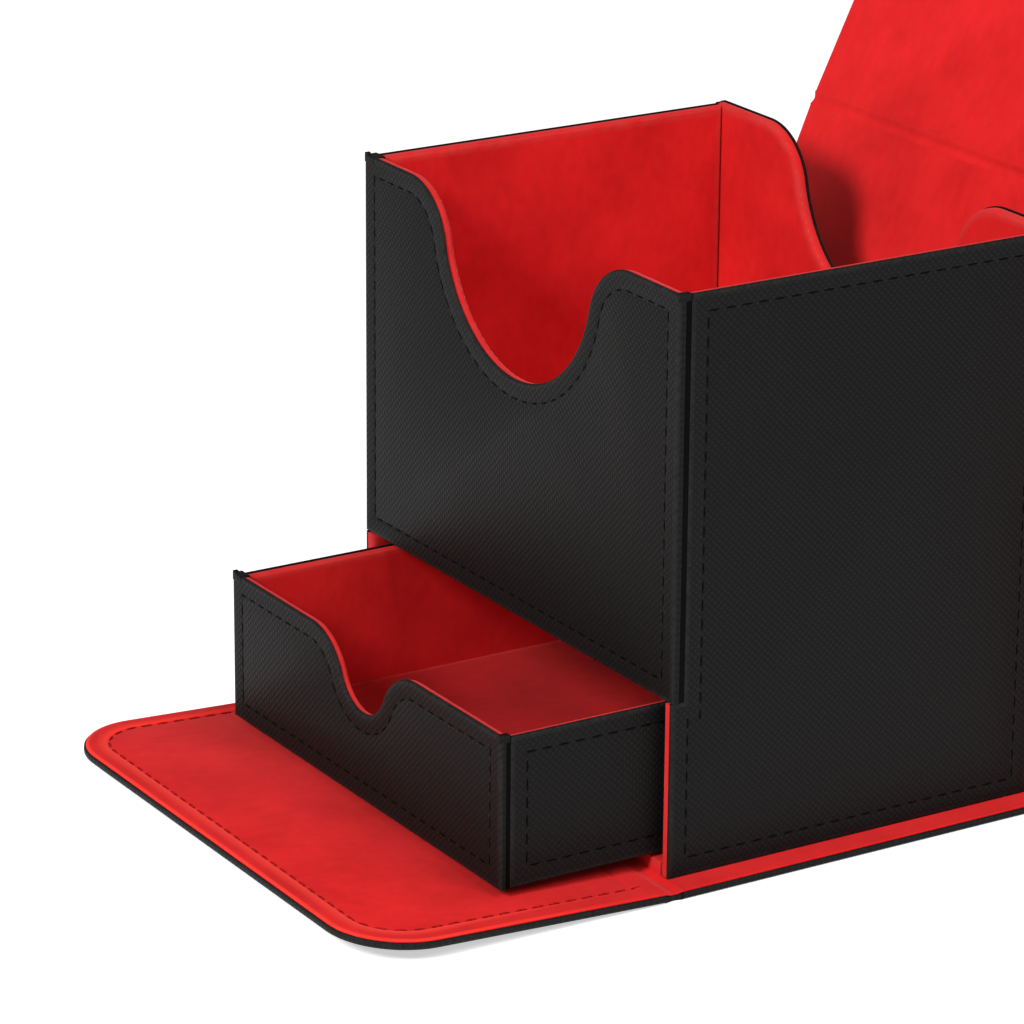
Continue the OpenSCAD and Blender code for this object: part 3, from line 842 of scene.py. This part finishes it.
for name in ("base", "rear_cover", "flap", "lid_back", "lid_top", "lid_front"):
    shape = round_ended if name in ("flap", "lid_front") else rectangle
    make_cover(name, shape)
    panel = panels[name]
    for index, row in enumerate(free_sides(panel, shape)):
        sew(f"{name}_stitches_out_{index}", panel, row, panel.top, False, black_thread)
        if name == "flap":
            sew(f"{name}_stitches_in_{index}", panel, row, 0, False, red_thread)
print("cover made")

# %% [markdown]
# ## Folds
# Between two panels there is no board, only leather and lining glued together. So a fold is thinner
# than a panel: the lining sinks into a soft channel, the edges pull in a little, and the leather
# outside stays nearly level. Each strip is a fine grid that is bent from one panel's plane into the
# next one's. It is tied to both panels' bodies, so it bends again when its panel turns.

# %% The four folds
FOLD_COLUMNS, FOLD_STEPS = 40, 16
FOLD_DIP, FOLD_PULL, SKIN_DIP, FOLD_EDGE = 0.35, 0.2, 0.12, 0.3


def fold_strip(name, first, second, w_of, thickness, side, edge, material, node_name):
    """A strip from one panel's end to the next one's start. It faces along w, side 1, or against it."""
    a, b = panels[first], panels[second]
    start, end = a.place @ Vector((0, a.high, 0)), b.place @ Vector((0, 0, 0))
    gap = (end - start).length / MM
    bm = bmesh.new()
    bm.verts.layers.float.new(RIM_RUB_AND_HIGHLIGHT)
    bmesh.ops.create_grid(bm, x_segments=FOLD_COLUMNS, y_segments=FOLD_STEPS, size=1.0)
    flat = bm.loops.layers.uv.new(PANEL_MAP)
    spots = {}
    for vert in bm.verts:
        t = (vert.co.y + 1) / 2
        spots[vert] = (vert.co.x * (a.half - edge - FOLD_PULL * sin(pi * t)), t)
    for face in bm.faces:
        for loop in face.loops:
            u, t = spots[loop.vert]
            loop[flat].uv = (u, t * gap)
    for vert, (u, t) in spots.items():
        w = w_of(sin(pi * t) ** 2)
        share = t * t * (3 - 2 * t)
        on_first = a.place @ Vector((u, a.high + t * gap, w))
        on_second = b.place @ Vector((u, (t - 1) * gap, w))
        vert.co = on_first.lerp(on_second, share)
    bm.normal_update()
    outward = (a.place.to_3x3() @ Vector((0, 0, 1))).normalized()
    if sum(face.normal.dot(outward) for face in bm.faces) * side < 0:
        bmesh.ops.reverse_faces(bm, faces=bm.faces[:])
    bmesh.ops.solidify(bm, geom=bm.faces[:], thickness=thickness * MM)
    bmesh.ops.recalc_face_normals(bm, faces=bm.faces[:])
    print(name, "is", round(gap, 2), "mm wide")
    piece = make_object(bm, name, material)
    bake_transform(piece, a.body, b.body, start, end)
    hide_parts(node_name)
    return piece


for name, first, second in (("flap_fold", "base", "flap"), ("back_fold", "rear_cover", "lid_back"),
                            ("top_fold", "lid_back", "lid_top"), ("front_fold", "lid_top", "lid_front")):
    top, cloth = panels[first].top, panels[first].cloth
    fold_strip(name + "_skin", first, second, lambda dip: top - SKIN_DIP * dip, top - cloth - FOLD_DIP,
               1, FOLD_EDGE, fold_leather, name)
    fold_strip(name + "_cloth", first, second, lambda dip: FOLD_DIP * dip, cloth,
               -1, LINING_INSET, microfibre, name)
print("folds made")

# %% [markdown]
# ## Floor, light and camera
# A pale floor that glows a little, so that it stays white, and a dim white surround. The key lamp
# stands in front, just right of the middle, and leaves a soft shadow behind the case. A larger,
# weaker one on the right fills the left wall's room side. A long lens looks from the front right,
# a little from above.

# %% Studio
FLOOR_REACH, FLOOR_DROP = 4.0, 0.05
floor_bm = bmesh.new()
bmesh.ops.create_grid(floor_bm, x_segments=1, y_segments=1, size=FLOOR_REACH)
bmesh.ops.translate(floor_bm, verts=floor_bm.verts[:], vec=(0, 0, -FLOOR_DROP * MM))
floor_mesh = bpy.data.meshes.new("floor")
floor_bm.to_mesh(floor_mesh)
floor_bm.free()
floor = bpy.data.objects.new("floor", floor_mesh)
bpy.context.scene.collection.objects.link(floor)
new_material("studio_paper", Base_Color=(0.9, 0.9, 0.9, 1), Roughness=0.9,
             Emission_Color=(1, 1, 1, 1), Emission_Strength=0.55)
floor.data.materials.append(bpy.data.materials["studio_paper"])

world = bpy.data.worlds.new("studio")
world.use_nodes = True
WORLD_GLOW, WORLD_SEEN = 0.24, 1.0
surround = world.node_tree.nodes["Background"]
surround.inputs["Color"].default_value = (1, 1, 1, 1)
seen = node(world.node_tree, "ShaderNodeLightPath").outputs["Is Camera Ray"]
strength = span(world.node_tree, seen, 0, 1, WORLD_GLOW, WORLD_SEEN)
world.node_tree.links.new(strength, surround.inputs["Strength"])
bpy.context.scene.world = world
bpy.context.scene.view_settings.view_transform = "Standard"


def add_lamp(name, place, aim, size, power):
    lamp = bpy.data.lights.new(name, "AREA")
    lamp.shape = "DISK"
    lamp.size = size
    lamp.energy = power
    holder = bpy.data.objects.new(name, lamp)
    holder.location = place
    holder.rotation_euler = (Vector(aim) - Vector(place)).to_track_quat("-Z", "Y").to_euler()
    bpy.context.scene.collection.objects.link(holder)


AIM = (0, 0, 0.08)
add_lamp("key", (0.28, -0.92, 0.71), AIM, 0.32, 11.5)
add_lamp("fill", (0.78, 0.07, 0.86), AIM, 0.6, 5.5)
print("two lamps aim at", AIM)

# %% Camera
CAMERA = SimpleNamespace(azimuth=radians(58.205), rise=radians(19.296), roll=radians(0.431),
                         distance=0.85938, target=Vector((-0.0177, -0.02853, 0.04503)),
                         lens=167.4, sensor=36, shift=0.0028)
flat_reach = cos(CAMERA.rise)
behind = Vector((sin(CAMERA.azimuth) * flat_reach, -cos(CAMERA.azimuth) * flat_reach, sin(CAMERA.rise)))
level = Vector((0, 0, 1)).cross(behind).normalized()
above = behind.cross(level)
across = cos(CAMERA.roll) * level + sin(CAMERA.roll) * above
upright = cos(CAMERA.roll) * above - sin(CAMERA.roll) * level
camera_data = bpy.data.cameras.new("camera")
camera_data.lens = CAMERA.lens
camera_data.sensor_width = CAMERA.sensor
camera_data.shift_y = CAMERA.shift
camera = bpy.data.objects.new("camera", camera_data)
camera.matrix_world = Matrix((across, upright, behind)).transposed().to_4x4()
camera.location = CAMERA.target + behind * CAMERA.distance
bpy.context.scene.collection.objects.link(camera)
bpy.context.scene.camera = camera
print("camera at", tuple(round(c, 4) for c in camera.location))
